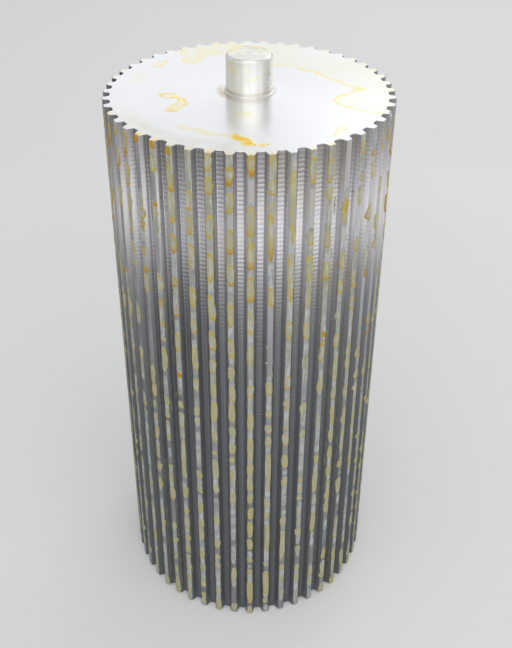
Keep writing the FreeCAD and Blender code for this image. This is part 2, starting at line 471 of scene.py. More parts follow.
def add_upper_end(rows, faces, count, turn):
    """Rings from the tooth roots to the socket, thinned out towards the middle, and the socket."""
    total = len(rows) * count
    last, last_count = total - count, count
    radius = FLOOR_RADIUS - 0.45
    while radius > PIN_RADIUS:
        wanted = count if radius > 23 else count // 2 if radius > 12 else count // 4
        rows.append(ring_points(radius, BAR_LENGTH, wanted, turn))
        faces += join_rings(last, last_count, total, wanted)
        last, last_count = total, wanted
        total += wanted
        radius -= END_RING_STEP
    for height in (BAR_LENGTH, BAR_LENGTH - SOCKET_DEPTH):
        rows.append(ring_points(PIN_RADIUS, height, last_count, turn))
        faces += strip(last, total, last_count)
        last = total
        total += last_count
    faces.append(tuple(range(last, last + last_count)))


def make_bar():
    """One closed mesh: toothed side, flat lower end, and a fine upper end with its socket."""
    outline = tooth_outline()
    count = len(outline["points"])
    rows = bar_side(outline)
    side_rows = len(rows)
    faces = []
    for row in range(side_rows - 1):
        faces += strip(row * count, (row + 1) * count, count)
    side_faces = len(faces)
    add_upper_end(rows, faces, count, math.atan2(outline["points"][0][1], outline["points"][0][0]))
    # lower end: one flat face inside the teeth
    faces.append(tuple(reversed(range(count))))

    vertices = nick(np.concatenate(rows))
    x, y, z = vertices.T
    stains = end_face_stains(x, y).where(z > BAR_LENGTH - 0.2)
    vertices[:, 2] += LINE_HEIGHT * stains["line"] * (z > BAR_LENGTH - FLAT_ENOUGH)
    off_side = np.zeros(len(vertices) - count * side_rows)
    side = {name: np.concatenate([np.tile(outline[name], side_rows), off_side])
            for name in ("floor", "land", "across", "tooth", "groove")}
    bar = new_object("toothed_pulley_bar", vertices, faces, {**side, **stains}, smooth_angle=32)
    bar.data.materials.append(hobbed_aluminium())
    bar.data.materials.append(turned_end_aluminium())
    index = np.zeros(len(bar.data.polygons), np.int32)
    index[side_faces:] = 1
    bar.data.polygons.foreach_set("material_index", index)
    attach(bar, ROOT)
    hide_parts("toothed_bar")
    return outline


def join_rings(first, first_count, second, second_count):
    """Faces from an outer ring to an inner ring of the same or half the count."""
    if first_count == second_count:
        return strip(first, second, first_count)
    faces = []
    for i in range(second_count):
        a, b, c = 2 * i, 2 * i + 1, (2 * i + 2) % first_count
        here, there = second + i, second + (i + 1) % second_count
        faces.append((first + a, first + b, here))
        faces.append((first + b, there, here))
        faces.append((first + b, first + c, there))
    return faces


# ---- spigot

def spigot_profile():
    """Radius and height up the outside of the pin, from the foot of its shank to its end."""
    rows = [(PIN_RADIUS - 1.0, PIN_LOW.z), (PIN_RADIUS - 0.01, PIN_LOW.z + 1.0),
            (PIN_RADIUS - 0.01, BAR_LENGTH), (COLLAR_RADIUS - 0.05, BAR_LENGTH),
            (COLLAR_RADIUS, BAR_LENGTH + 0.05), (COLLAR_RADIUS, BAR_LENGTH + COLLAR_HEIGHT - 0.05),
            (COLLAR_RADIUS - 0.05, BAR_LENGTH + COLLAR_HEIGHT)]
    cove_height = BAR_LENGTH + COLLAR_HEIGHT + COLLAR_COVE
    for turn in np.linspace(0, math.pi / 2, 7):
        rows.append((PIN_RADIUS + COLLAR_COVE * (1 - math.sin(turn)),
                     cove_height - COLLAR_COVE * math.cos(turn)))
    shoulder = TOTAL_HEIGHT - PIN_CHAMFER
    for height in np.arange(cove_height + 0.2, shoulder - 0.1, 0.2):
        rows.append((PIN_RADIUS, height))
    rows += [(PIN_RADIUS, shoulder - 0.05), (PIN_RADIUS - 0.03, shoulder + 0.03),
             (PIN_RADIUS - PIN_CHAMFER + 0.03, TOTAL_HEIGHT - 0.03),
             (PIN_RADIUS - PIN_CHAMFER - 0.05, TOTAL_HEIGHT)]
    for radius in np.arange(PIN_RADIUS - PIN_CHAMFER - 0.25, 0.3, -0.25):
        rows.append((radius, TOTAL_HEIGHT))
    # the small pip that a facing cut leaves in the middle
    rows += [(0.30, TOTAL_HEIGHT - 0.06), (0.15, TOTAL_HEIGHT - 0.08)]
    return rows


# Marks on the pin: angle from the front in degrees, height above the end face, and size
PIN_SPECKS = [(12, 5.2, 0.5), (17, 5.7, 0.35), (34, 6.3, 0.4), (30, 8.2, 0.35), (-8, 2.6, 0.3)]
PIN_NICKS = [(54, 5.9), (58, 5.2), (46, 2.2)]


def pin_side_stains(x, y, z):
    """Yellow film, yellow marks, brown marks, soil and painted shade round the pin."""
    stains = Stains(x)
    front = np.degrees(np.arctan2(x, -y))
    up = z - BAR_LENGTH
    wf = front + 5 * ripple(x, z, 2.0, 21)
    wu = up + 0.35 * ripple(x, z + y, 1.6, 22)
    olive = fade(np.hypot((wf + 52) / 16, (wu - 7.9) / 1.7), 0.45, 1.15)
    run = fade(np.hypot((wf + 36) / 9, (wu - 6.2) / 1.3), 0.3, 1.1)
    patchy = np.clip(0.55 + 0.6 * ripple(wf / 9.5, z, 0.9, 31), 0.1, 1)
    stains.add(film=0.35 + 0.55 * fade(np.abs(wf + 38), 14, 40) * fade(np.abs(wu - 5.0), 1.8, 4.8),
               line=np.maximum(0.65 * olive, 0.55 * run) * patchy)
    for at, high, size in PIN_SPECKS:
        gap = np.hypot(np.radians(wf - at) * PIN_RADIUS, wu - high)
        stains.add(line=0.7 * fade(gap, 0.1, size))
    scuff = fade(np.hypot((wf - 52) / 20, (wu - 4.8) / 4.2), 0.5, 1.1)
    stains.add(brown=0.34 * scuff * np.clip(ripple(x * 2, z, 0.6, 23) + 0.2, 0, 1))
    for at, high in PIN_NICKS:
        gap = np.hypot(np.radians(wf - at) * PIN_RADIUS * 0.5, wu - high - 0.02 * (wf - at))
        stains.add(brown=0.8 * fade(gap, 0.05, 0.4))
    stains.add(brown=0.3 * fade(up, 0.3, 1.2) * fade(np.abs(front + 70), 15, 45))
    # painted shade: the pin is darkened on its sides and back, away from the front, and in a thin band just
    # above the cove
    edge = 0.30 * fade(np.abs(front), 85, 50) * (0.8 + 0.3 * ripple(x, z, 1.5, 27))
    ring = 0.5 * fade(np.abs(up - 0.9), 0.1, 0.8)
    grime = 0.35 * fade(ripple(x, y + 0.5 * z, 2.2, 28), 0.9, -0.3)
    stains.add(soil=np.maximum(edge, ring) + 0.25 * grime)
    return stains


def pin_end_stains(x, y):
    """Film, a worn patch and a dirty arc on the end of the pin."""
    stains = Stains(x)
    radius = np.hypot(x, y)
    back = fade(radius, 4.8, 3.0) * fade(y, 1.5, -0.5)
    patch = fade(np.hypot((x + 1.5) / 3.0, (y + 0.5) / 1.6), 0.5, 1.1)
    patch = patch * fade(ripple(x, y, 1.3, 26), 0.8, -0.2)
    stains.add(film=0.4 + 0.4 * back + 0.3 * fade(ripple(x, y, 2.5, 25), 0.5, -0.2),
               line=0.55 * back * (0.6 + 0.5 * ripple(x, y, 2.0, 24)),
               brown=np.maximum(0.08 * patch, 0.35 * fade(np.hypot(x - 3.8, y + 1.9), 0.1, 0.7)),
               soil=0.10 * patch + 0.22 * fade(ripple(x, y, 1.8, 29), 0.6, -0.3))
    turn = np.degrees(np.arctan2(y, x))
    arc = fade(np.abs(radius - 4.95), 0.15, 0.6) * fade(np.abs(turn - 85), 60, 95)
    stains.add(soil=0.75 * arc * np.clip(ripple(x, y, 1.6, 30) + 0.5, 0, 1))
    return stains


def make_spigot():
    rings = [ring_points(radius, height, PIN_SEGMENTS) for radius, height in spigot_profile()]
    faces = [tuple(reversed(range(PIN_SEGMENTS)))]
    for row in range(len(rings) - 1):
        faces += strip(row * PIN_SEGMENTS, (row + 1) * PIN_SEGMENTS, PIN_SEGMENTS)
    last = (len(rings) - 1) * PIN_SEGMENTS
    faces.append(tuple(range(last, last + PIN_SEGMENTS)))
    vertices = np.concatenate(rings)
    x, y, z = vertices.T
    on_end = z > TOTAL_HEIGHT - 0.02
    side = pin_side_stains(x, y, z).where((z > BAR_LENGTH) & ~on_end)
    end = pin_end_stains(x, y).where(on_end)
    stains = {name: side[name] + end[name] for name in STAIN_NAMES}
    pin = new_object("spigot_pin", vertices, faces, stains, smooth_angle=28)
    pin.data.materials.append(turned_pin_aluminium())
    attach(pin, ROOT)
    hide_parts("turned_spigot")


# ---- dried drops on the teeth

# Drops on the teeth nearest the front: tooth (0 is the front one, counted towards +X), then
# for each drop its height, its length and how brown it is. The other drops are random.
FRONT_DROPS = {
    -9: [(154.5, 6.6, 1.0), (117.5, 7.0, 0.1), (105.0, 7.0, 0.15)],
    -8: [(157.2, 3.2, 0.7), (150.2, 6.0, 0.75), (139.4, 6.2, 0.25), (117.0, 2.0, 0.5), (110.2, 2.2, 0.3),
         (104.4, 7.0, 0.1), (99.0, 2.0, 0.5), (92.0, 3.6, 0.2)],
    -7: [(155.8, 7.4, 0.9), (147.6, 6.6, 0.55), (139.5, 5.5, 0.15), (133.0, 4.2, 0.45), (124.8, 7.2, 0.15),
         (106.0, 6.0, 0.1), (92.5, 4.0, 0.2)],
    -6: [(159.0, 2.0, 0.8), (139.0, 3.4, 0.3), (135.6, 2.2, 0.5), (128.0, 2.8, 0.4), (122.5, 2.2, 0.7),
         (118.2, 5.6, 0.05), (88.4, 6.5, 0.15)],
    -5: [(159.0, 2.0, 1.0), (153.8, 4.2, 0.1), (143.2, 1.6, 0.7), (140.9, 1.8, 0.1), (120.6, 5.2, 0.1),
         (114.2, 2.8, 0.5), (107.4, 2.0, 0.4), (102.5, 1.5, 0.2), (96.0, 8.0, 0.1)],
    -4: [(158.6, 2.2, 0.9), (151.5, 7.5, 0.6), (143.5, 9.0, 0.25), (133.8, 6.0, 0.7), (122.5, 3.0, 0.8),
         (113.5, 3.4, 0.6), (103.5, 6.5, 0.4), (92.5, 2.2, 0.9)],
    -3: [(147.0, 6.0, 0.4), (140.0, 5.0, 0.5), (131.5, 8.0, 0.15), (119.5, 6.0, 0.3), (110.0, 5.0, 0.3),
         (100.0, 8.0, 0.3), (91.0, 4.5, 0.3)],
    -2: [(157.5, 5.0, 0.3), (151.8, 5.0, 0.4), (140.6, 7.0, 0.3), (129.0, 9.5, 0.3), (117.2, 8.5, 0.35),
         (106.8, 6.5, 0.5), (98.5, 4.5, 0.2), (90.5, 5.0, 0.3)],
    -1: [(154.4, 5.4, 1.0), (147.5, 6.0, 0.4), (137.0, 7.5, 0.75), (127.6, 6.8, 0.6), (115.6, 8.0, 0.3),
         (105.0, 6.5, 0.4), (96.8, 4.4, 0.2), (89.8, 5.6, 0.2)],
    0: [(157.2, 5.6, 1.0), (142.8, 8.6, 0.4), (133.2, 8.0, 0.65), (123.6, 8.0, 0.5), (113.5, 9.0, 0.1),
        (103.5, 6.0, 0.05), (91.0, 4.6, 0.4)],
    1: [(157.4, 5.0, 0.2), (151.6, 4.4, 0.5), (145.6, 4.6, 0.1), (138.2, 14.0, 0.7), (121.0, 6.2, 0.5),
        (91.6, 4.6, 0.3)],
    2: [(146.0, 22.0, 0.2), (126.0, 15.0, 0.25), (110.0, 6.0, 0.4), (93.0, 5.0, 0.5)],
    3: [(154.5, 7.5, 0.5), (136.4, 4.2, 0.3), (127.8, 8.0, 0.1), (119.0, 6.0, 0.2), (108.8, 6.2, 0.3),
        (97.0, 7.0, 0.0)],
    4: [(153.6, 7.0, 0.5), (147.4, 3.6, 0.3), (134.4, 4.6, 0.6), (125.6, 6.0, 0.6), (106.0, 2.0, 0.8),
        (103.0, 2.4, 0.6), (98.8, 3.6, 0.6), (89.0, 5.4, 0.1)],
    5: [(139.2, 3.6, 0.3), (126.8, 5.4, 0.2), (118.8, 5.0, 0.3), (110.0, 3.0, 0.0), (101.8, 5.2, 0.4),
        (92.0, 9.0, 0.1)],
    6: [(156.5, 3.6, 0.6), (148.8, 2.8, 0.5), (143.4, 5.2, 0.2), (129.5, 4.2, 0.7), (118.6, 5.6, 0.2),
        (111.5, 4.6, 0.3), (107.6, 2.8, 0.1), (96.2, 4.2, 0.15), (91.5, 4.6, 0.15)],
    7: [(153.3, 2.0, 0.6), (148.8, 4.8, 0.2), (137.0, 4.6, 0.45), (125.0, 3.8, 0.2), (118.6, 2.8, 0.7),
        (92.5, 4.2, 0.5)],
    8: [(153.8, 4.0, 0.25), (142.3, 3.2, 0.3), (132.0, 5.5, 0.3), (125.0, 3.0, 0.6), (100.5, 5.0, 0.8),
        (96.5, 2.0, 0.8)],
    9: [(154.0, 4.5, 0.4), (114.0, 3.0, 0.4), (104.0, 4.0, 0.3), (98.0, 3.4, 0.3)],
}
# below this height the drops on the front teeth are random as well
FRONT_DROPS_FROM = 87.0


def random_drops(rng, top, bottom):
    """A chain of drops down one tooth, in runs of close small ones and longer merged ones."""
    drops = []
    height = top - rng.uniform(0, 4)
    while height > bottom + 2:
        if rng.random() < 0.13:
            height -= rng.uniform(5, 16)
            continue
        low_down = 1 - height / BAR_LENGTH
        length = min(rng.gamma(7, 0.62 - 0.14 * low_down), 11.0)
        if rng.random() < 0.12:
            length *= 2.2
        brown = np.clip(rng.beta(1.3, 3.2) + 0.35 * (height > 125) * rng.random(), 0, 1)
        drops.append((height - length / 2, length, brown))
        height -= length + rng.gamma(2.0, 0.9) + 0.4
    return drops


class SurfaceStrip:
    """Places a point given by its distance across one tooth and its height."""

    def __init__(self, outline):
        per_tooth = len(outline["points"]) // TOOTH_COUNT
        # the tooth on +X is number 0: its points lie on both sides of the list's seam
        order = np.argsort(np.where(outline["tooth"] == 0, outline["across"], 1e6))[:per_tooth]
        self.across = outline["across"][order]
        self.columns = np.hstack([outline["points"][order], outline["normals"][order]]).T

    def place(self, tooth, across, height, lift):
        x, y, nx, ny = (np.interp(across, self.across, column) for column in self.columns)
        size = np.hypot(nx, ny)
        x, y = x + lift * nx / size, y + lift * ny / size
        turn = tooth * PITCH_ANGLE
        return np.column_stack([
            x * math.cos(turn) - y * math.sin(turn),
            x * math.sin(turn) + y * math.cos(turn),
            height,
        ])


# share of the way from the middle to the rim, and height of the dried skin there
DROP_RINGS = [(0.0, 0.045), (0.5, 0.045), (0.70, 0.06), (0.84, 0.09), (0.94, 0.07), (1.0, -0.03)]
DROP_SEGMENTS = 22
# Lengths in millimetres under which a drop is small and narrow, and over which it is slim
SMALL_DROP = 3
LONG_DROP = 12
# a small drop dries to one solid colour, this much stronger
SOLID_TINT = 1.35


def drop(strip_of, tooth, centre, length, brown, rng):
    """One dried drop: a thin skin with a thicker rim that laps over the tooth's edges."""
    angles = np.arange(DROP_SEGMENTS) * 2 * math.pi / DROP_SEGMENTS
    half_width = rng.uniform(0.86, 1.16) * (0.82 if length > LONG_DROP else 1.0)
    if length < SMALL_DROP:
        half_width *= 0.8
    aside = rng.normal(0, 0.10)
    lobes = 1 + sum(rng.uniform(0, 0.26 / n ** 0.8) * np.sin(n * angles + rng.uniform(0, 6.28))
                    for n in (2, 3, 5, 8))
    square = 2.0 / rng.uniform(2.1, 3.0)
    shape_across = np.sign(np.cos(angles)) * np.abs(np.cos(angles)) ** square * lobes
    shape_along = np.sign(np.sin(angles)) * np.abs(np.sin(angles)) ** square
    shape_across = shape_across * (1 - rng.uniform(-0.35, 0.25) * shape_along)
    lean = rng.normal(0, 0.35)
    points = []
    rims = []
    # oil runs down before it dries, so the rim is thicker and browner at the lower end
    sag = rng.uniform(0, 0.22)
    for share, lift in DROP_RINGS:
        ring = DROP_SEGMENTS if share else 1
        a = shape_across[:ring] * share * half_width + aside
        z = shape_along[:ring] * share * length / 2 + sag * (1 - share) * length / 2
        a = a + lean * z / max(length, 1) * half_width
        height = np.clip(centre + z, 0.15, BAR_LENGTH - 0.06)
        points.append(strip_of.place(tooth, np.clip(a, -2.0, 2.0), height, np.full(ring, lift)))
        rims.append(np.full(ring, share))
    faces = [(0, 1 + (i + 1) % DROP_SEGMENTS, 1 + i) for i in range(DROP_SEGMENTS)]
    for row in range(len(DROP_RINGS) - 2):
        first = 1 + row * DROP_SEGMENTS
        faces += strip(first, first + DROP_SEGMENTS, DROP_SEGMENTS)
    points = np.concatenate(points)
    rims = np.concatenate(rims)
    low = np.clip((centre - points[:, 2]) / max(length / 2, 0.5), 0, 1)
    tint = np.clip(brown * (0.55 + 0.75 * low), 0, 1)
    if length < SMALL_DROP:
        tint = np.full(len(points), brown * SOLID_TINT)
    return points, faces, rims, tint


# Bare stretches on the front teeth, as (upper, lower) heights
FRONT_GAPS = {
    -9: [(150.5, 121.5)], -8: [(147.0, 142.8), (136.0, 118.5)], -7: [(121.0, 110.0), (102.0, 95.0)],
    -6: [(158.0, 146.0), (114.8, 91.5)], -5: [(151.5, 145.0), (133.5, 124.0)], -4: [(146.0, 136.5)],
    -1: [(143.6, 141.2)], 0: [(153.4, 147.6)], 1: [(117.0, 96.0)], 3: [(149.5, 139.5)],
    4: [(150.2, 149.0), (130.5, 129.0)], 5: [(160.0, 147.5), (136.0, 131.0)], 6: [(140.5, 132.0)],
    7: [(146.0, 139.8), (134.0, 127.0), (117.0, 95.0)], 8: [(151.0, 145.0), (123.0, 104.0), (95.0, 88.0)],
    9: [(160.0, 157.6), (151.0, 117.0)],
}
# distance across a strip of film, as a share of its half width, and its height there
FILM_COLUMNS = [(-1.0, -0.03), (-0.93, 0.02), (-0.82, 0.035), (-0.62, 0.03), (0.0, 0.025),
                (0.62, 0.03), (0.82, 0.035), (0.93, 0.02), (1.0, -0.03)]
# length of a rounded end of film, in millimetres
FILM_END = 1.1


def film_spans(rng, gaps):
    """Stretches of one tooth that carry film, from the top down."""
    gaps = list(gaps)
    for _ in range(rng.integers(0, 3)):
        start = rng.uniform(8, 84 if gaps else 150)
        gaps.append((start, start - rng.uniform(3, 11)))
    for _ in range(rng.integers(7, 13)):
        start = 112 * rng.random() ** 1.2 + 4
        gaps.append((start, start - rng.uniform(0.8, 3.4)))
    spans = []
    top = BAR_LENGTH - 0.05
    for upper, lower in sorted(gaps, reverse=True):
        if top - upper > 0.9:
            spans.append((top, upper))
        top = min(top, lower)
    spans.append((top, 0.3))
    return spans


def film_strip(strip_of, tooth, upper, lower, rng):
    """A thin skin along a tooth tip, with wavy edges and rounded ends except at the rim."""
    count = max(int((upper - lower) / 0.7), 6)
    height = np.linspace(upper, lower, count)
    edges = []
    for _ in range(2):
        wave = sum(np.sin(height * 2 * math.pi / pitch + rng.uniform(0, 6.28))
                   for pitch in rng.uniform([2.2, 4.0, 9.0], [3.6, 8.0, 22.0]))
        edges.append(0.77 + 0.075 * wave)
    ends = (height - lower) / FILM_END
    if upper < BAR_LENGTH - 1:
        ends = np.minimum(ends, (upper - height) / FILM_END)
    ends = np.sqrt(np.clip(ends, 0.02, 1))
    points = []
    for share, lift in FILM_COLUMNS:
        across = share * ends * np.where(share < 0, edges[0], edges[1])
        points.append(strip_of.place(tooth, across, height, np.full(count, lift)))
    faces = []
    for column in range(len(FILM_COLUMNS) - 1):
        left, right = column * count, (column + 1) * count
        faces += [(left + i, left + i + 1, right + i + 1, right + i) for i in range(count - 1)]
    rims = np.repeat([abs(share) for share, _ in FILM_COLUMNS], count)
    return np.concatenate(points), faces, rims, np.zeros(count * len(FILM_COLUMNS))


# Crumbs of dried oil and dust, in clusters: tooth, height, count, spread along and across, and
# kind, which is 0 for dust, up to 1 for oil and 2 for black
CRUMBS = [
    (-2, 151.5, 16, 1.6, 1.4, 0.8), (-3, 122.0, 6, 6.0, 0.8, 0.7), (3, 133.0, 8, 8.0, 0.9, 0.6),
    (4, 107.0, 7, 2.0, 1.2, 0.0), (-2, 77.0, 4, 1.6, 1.2, 0.0), (-5, 145.0, 2, 0.4, 1.2, 2.0),
    (-6, 138.0, 14, 5.0, 1.2, 0.8), (6, 120.0, 10, 12.0, 1.2, 0.7), (1, 101.0, 6, 4.0, 0.9, 0.3),
    (7, 96.0, 10, 9.0, 1.2, 0.6),
]
# Tooth and height of the splash, and how many arms it has
SPLASH = (5, 142.5)
SPLASH_ARMS = 14
SPECKS = 420


def crumb_spots(rng):
    """Where the lumps are: tooth, distance across it, height, size and kind of each."""
    spots = []
    for place, height, count, along, sideways, kind in CRUMBS:
        for _ in range(count):
            across = np.clip(rng.normal(0, sideways * 0.7), -2.0, 2.0)
            across = math.copysign(max(abs(across), 0.75), across)
            spots.append((place, across, height + rng.normal(0, along * 0.6), rng.uniform(0.10, 0.30), kind))
    # a splash whose arms reach out from the middle
    for arm in range(SPLASH_ARMS):
        way = arm * 2 * math.pi / SPLASH_ARMS + rng.uniform(-0.25, 0.25)
        length = rng.uniform(0.9, 2.1)
        for share in np.linspace(0.15, 1.0, 8):
            spots.append((SPLASH[0], length * share * math.cos(way) * 0.80,
                          SPLASH[1] + length * share * math.sin(way) * 2.1, 0.40 - 0.26 * share, 1.0))
    # specks anywhere on the bar
    for _ in range(SPECKS):
        spots.append((rng.integers(TOOTH_COUNT), rng.uniform(-2.3, 2.3), rng.uniform(2, BAR_LENGTH - 2),
                      rng.uniform(0.04, 0.11), rng.choice([0.0, 0.8])))
    return spots


def crumb_material():
    s = Shader("crumbs")
    place, x, y, z = s.position()
    kind = s.attributes("tint")[0]
    mottle = s.noise(place, 2.5, 2.0, 0.5)
    dust = s.mix(mottle, (0.55, 0.55, 0.52, 1), (0.75, 0.75, 0.72, 1))
    oil = s.mix(s.step(mottle, 0.35, 0.65), (0.78, 0.62, 0.10, 1), (0.52, 0.32, 0.03, 1))
    colour = s.mix(s.step(kind, 1.2, 1.8), s.mix(s.step(kind, 0.2, 0.7), dust, oil), (0.02, 0.02, 0.02, 1))
    return s.surface({"Base Color": colour, "Roughness": mottle * 0.3 + 0.2})


def make_crumbs(outline):
    """Small lumps stuck to the flanks and tips."""
    strip_of = SurfaceStrip(outline)
    rng = np.random.default_rng(7)
    corners = np.array([(1, 0, 0), (0, 1, 0), (-1, 0, 0), (0, -1, 0), (0, 0, 1), (0, 0, -1)], float)
    sides = [(0, 1, 4), (1, 2, 4), (2, 3, 4), (3, 0, 4), (1, 0, 5), (2, 1, 5), (3, 2, 5), (0, 3, 5)]
    vertices, faces, kinds = [], [], []
    for place, across, height, size, kind in crumb_spots(rng):
        tooth = (place + FRONT_TOOTH) % TOOTH_COUNT
        centre = strip_of.place(tooth, np.array([across]), np.array([height]), np.array([0.0]))[0]
        centre[2] = min(centre[2], BAR_LENGTH - 0.6)
        size = size * rng.uniform(0.6, 1.3, 3) * (1, 1, 1.7)
        start = len(corners) * len(vertices)
        lump = centre + corners * size * rng.uniform(0.7, 1.2, (6, 1))
        reach = np.linalg.norm(lump[:, :2], axis=1)
        lump[:, :2] *= np.minimum(1, (OUTER_RADIUS - 0.01) / reach)[:, None]
        vertices.append(lump)
        faces += [tuple(start + i for i in side) for side in sides]
        kinds.append(np.full(len(corners), kind))
    piece = new_object("crumbs", np.concatenate(vertices), faces, {"tint": np.concatenate(kinds)})
    piece.data.materials.append(crumb_material())
    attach(piece, ROOT)


def make_drops(outline):
    """Film and drops on the teeth, one piece for each quarter of the bar."""
    strip_of = SurfaceStrip(outline)
    rng = np.random.default_rng(48)
    material = dried_oil()
    quarters = {"front": [], "right": [], "back": [], "left": []}
    for tooth in range(TOOTH_COUNT):
        place = (tooth - FRONT_TOOTH + TOOTH_COUNT // 2) % TOOTH_COUNT - TOOTH_COUNT // 2
        side = ("front", "right", "back", "left")[((place + 6) // 12) % 4]
        by_hand = FRONT_DROPS.get(place, [])
        for upper, lower in film_spans(rng, FRONT_GAPS.get(place, [])):
            quarters[side].append(film_strip(strip_of, tooth, upper, lower, rng))
        top = FRONT_DROPS_FROM if by_hand else BAR_LENGTH - 0.5
        for centre, length, brown in by_hand + random_drops(rng, top, 0):
            quarters[side].append(drop(strip_of, tooth, centre, length, brown, rng))
    for side, drops in quarters.items():
        parts, faces, start = [], [], 0
        for points, drop_faces, rim, tint in drops:
            count = len(points)
            faces += [tuple(start + i for i in face) for face in drop_faces]
            start += count
            is_drop = float(tint.max() > 0)
            parts.append((points, rim, tint, np.full(count, rng.random()), np.full(count, is_drop)))
        vertices, *shares = (np.concatenate(column) for column in zip(*parts))
        names = ("rim", "tint", "shade", "drop")
        piece = new_object(f"dried_oil_{side}", vertices, faces, dict(zip(names, shares)))
        piece.data.materials.append(material)
        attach(piece, ROOT)


# ---- shader helpers

class Value:
    """A number that a node works out, with plain arithmetic that adds more nodes."""

    def __init__(self, shader, socket):
        self.shader = shader
        self.socket = socket

    def __add__(self, other):
        return self.shader.math("ADD", self, other)

    def __sub__(self, other):
        return self.shader.math("SUBTRACT", self, other)

    def __rsub__(self, other):
        return self.shader.math("SUBTRACT", other, self)

    def __mul__(self, other):
        return self.shader.math("MULTIPLY", self, other)

    def __truediv__(self, other):
        return self.shader.math("DIVIDE", self, other)

    def __abs__(self):
        return self.shader.math("ABSOLUTE", self)


class Shader:
    """Builds the nodes of a material or world; inputs are numbers, tuples, Values or sockets."""

    def __init__(self, name, owners=bpy.data.materials, output="OutputMaterial"):
        self.material = owners.new(name)
        self.material.use_nodes = True
        self.tree = self.material.node_tree
        self.tree.nodes.clear()
        self.output = self.add(output)

    def add(self, kind, inputs=None, **settings):
        node = self.tree.nodes.new("ShaderNode" + kind)
        for name, value in settings.items():
            setattr(node, name, value)
        for name, value in (inputs or {}).items():
            self.feed(node.inputs[name], value)
        return node

    def feed(self, socket, value):
        if isinstance(value, Value):
            value = value.socket
        if isinstance(value, bpy.types.NodeSocket):
            self.tree.links.new(value, socket)
        else:
            socket.default_value = value

    def math(self, operation, *values):
        node = self.add("Math", operation=operation)
        for socket, value in zip(node.inputs, values):
            self.feed(socket, value)
        return Value(self, node.outputs[0])

    def mix(self, share, first, second):
        """Colour between two colours."""
        return self.add("Mix", {0: share, 6: first, 7: second}, data_type="RGBA").outputs[2]

    def between(self, share, first, second):
        """Number between two numbers."""
        node = self.add("Mix", {0: share, 2: first, 3: second}, data_type="FLOAT")
        return Value(self, node.outputs[0])

    def step(self, value, low, high):
        """0 at low and 1 at high, smooth between; high may be under low."""
        node = self.add("MapRange", {"Value": value, "From Min": low, "From Max": high},
                        interpolation_type="SMOOTHSTEP")
        return Value(self, node.outputs["Result"])

    def attributes(self, *names):
        nodes = [self.add("Attribute", attribute_name=name, attribute_type="GEOMETRY") for name in names]
        return [Value(self, node.outputs["Fac"]) for node in nodes]

    def position(self):
        """Object position in millimetres: the vector and its three parts."""
        place = self.add("TexCoord").outputs["Object"]
        scaled = self.add("VectorMath", {0: place, "Scale": 1 / MM}, operation="SCALE").outputs[0]
        return scaled, *(Value(self, part) for part in self.add("SeparateXYZ", {0: scaled}).outputs)

    def vector(self, x, y, z):
        return self.add("CombineXYZ", {0: x, 1: y, 2: z}).outputs[0]

    def noise(self, vector, scale, detail=2.0, rough=0.5):
        node = self.add("TexNoise", {"Vector": vector, "Scale": scale, "Detail": detail, "Roughness": rough})
        return Value(self, node.outputs["Fac"])

    def bump(self, height_mm):
        """Bump from a height in millimetres."""
        return self.add("Bump", {"Strength": 1.0, "Distance": MM, "Height": height_mm}).outputs[0]

    def surface(self, inputs):
        node = self.add("BsdfPrincipled", inputs)
        self.feed(self.output.inputs["Surface"], node.outputs[0])
        return self.material


def distance_from_axis(s, x, y):
    return s.math("SQRT", x * x + y * y)


# ---- metal

ALUMINIUM = (0.80, 0.805, 0.81, 1)
PALE_FILM = (0.88, 0.89, 0.74, 1)
YELLOW_OIL = (0.98, 0.82, 0.27, 1)
# colour of soil, also used for painted shade round the pin
SOIL_AND_SHADE = (0.60, 0.52, 0.40, 1)
BROWN_OIL = (0.98, 0.58, 0.05, 1)
GREY_BROWN = (0.56, 0.46, 0.31, 1)
OIL_IOR = 1.46
# how far apart the hob's feed marks are, in millimetres
HOB_FEED = 1.20


